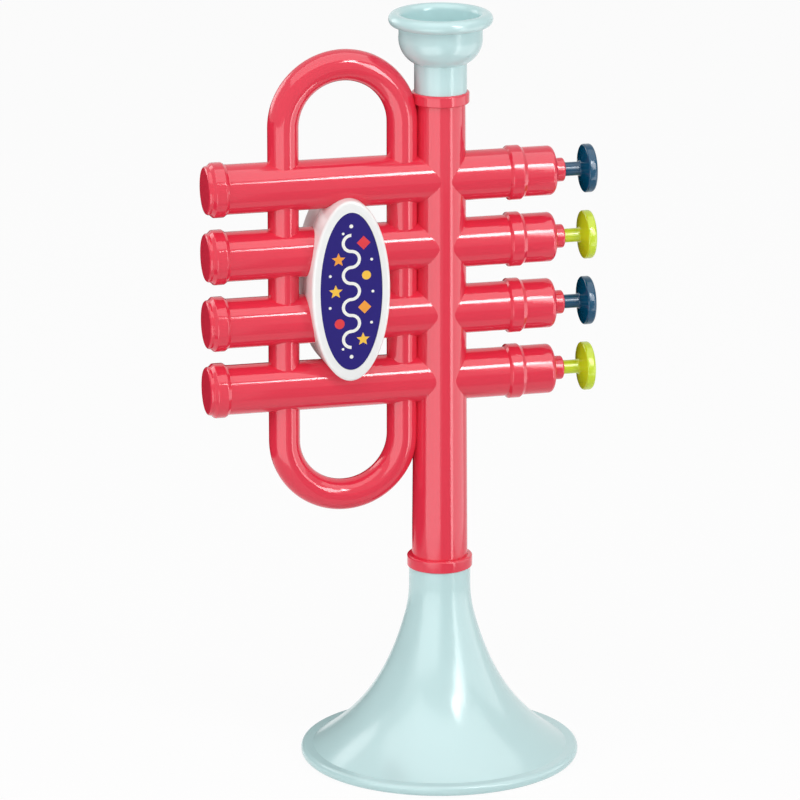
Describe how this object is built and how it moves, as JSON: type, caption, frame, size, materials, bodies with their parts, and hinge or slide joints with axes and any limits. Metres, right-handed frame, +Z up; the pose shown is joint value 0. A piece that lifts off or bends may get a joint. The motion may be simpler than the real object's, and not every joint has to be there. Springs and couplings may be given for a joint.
{
  "type": "toy trumpet",
  "caption": "Child's trumpet with spring-loaded push-button valves on cross tubes, a hand loop, a cup mouthpiece, an oval front plate and a flared bell it stands on.",
  "frame": {"origin": "on the floor, under the middle of the outline's box; the main pipe's axis is 17.1 mm towards +X from it", "axes": "+Z up the main pipe from the bell to the mouthpiece, +X towards the buttons, -Y towards the side with the oval plate"},
  "size_m": [0.1654, 0.1172, 0.32],
  "materials": {
    "red_plastic": "glossy coral red, injection moulded",
    "mint_plastic": "satin gloss pale mint, injection moulded",
    "white_plastic": "satin gloss white",
    "violet_plastic": "glossy blue violet with a printed pattern",
    "navy_plastic": "glossy navy",
    "lime_plastic": "glossy lime",
    "inner_plastic": "plain off-white",
    "pad_rubber": "soft matt",
    "reed_brass": "rolled strip",
    "spring_steel": "drawn wire",
    "screw_steel": "zinc plated"
  },
  "bodies": {
    "trumpet": {"front_shell": "red_plastic", "back_shell": "red_plastic", "socket_ring": "red_plastic", "bell_ring": "red_plastic", "mouthpiece": "mint_plastic", "bell": "mint_plastic", "label_holder": "white_plastic", "holder_back": "white_plastic", "label": "violet_plastic", "holder_screws": "screw_steel", "tail_cap_1": "red_plastic", "valve_cap_1": "red_plastic", "reed_plate_1": "inner_plastic", "reed_1": "reed_brass", "return_spring_1": "spring_steel", "tail_cap_2": "red_plastic", "valve_cap_2": "red_plastic", "reed_plate_2": "inner_plastic", "reed_2": "reed_brass", "return_spring_2": "spring_steel", "tail_cap_3": "red_plastic", "valve_cap_3": "red_plastic", "reed_plate_3": "inner_plastic", "reed_3": "reed_brass", "return_spring_3": "spring_steel", "tail_cap_4": "red_plastic", "valve_cap_4": "red_plastic", "reed_plate_4": "inner_plastic", "reed_4": "reed_brass", "return_spring_4": "spring_steel"},
    "valve_1": {"button_1": "navy_plastic", "valve_pad_1": "pad_rubber"},
    "valve_2": {"button_2": "lime_plastic", "valve_pad_2": "pad_rubber"},
    "valve_3": {"button_3": "navy_plastic", "valve_pad_3": "pad_rubber"},
    "valve_4": {"button_4": "lime_plastic", "valve_pad_4": "pad_rubber"}
  },
  "joints": [
    {"name": "button_1_push", "type": "slide", "parent": "trumpet", "child": "valve_1", "axis": [-1, 0, 0], "range_m": [0, 0.0067], "stiffness_N_per_m": 150, "deforming": ["return_spring_1"]},
    {"name": "button_2_push", "type": "slide", "parent": "trumpet", "child": "valve_2", "axis": [-1, 0, 0], "range_m": [0, 0.0067], "stiffness_N_per_m": 150, "deforming": ["return_spring_2"]},
    {"name": "button_3_push", "type": "slide", "parent": "trumpet", "child": "valve_3", "axis": [-1, 0, 0], "range_m": [0, 0.0067], "stiffness_N_per_m": 150, "deforming": ["return_spring_3"]},
    {"name": "button_4_push", "type": "slide", "parent": "trumpet", "child": "valve_4", "axis": [-1, 0, 0], "range_m": [0, 0.0067], "stiffness_N_per_m": 150, "deforming": ["return_spring_4"]}
  ]
}
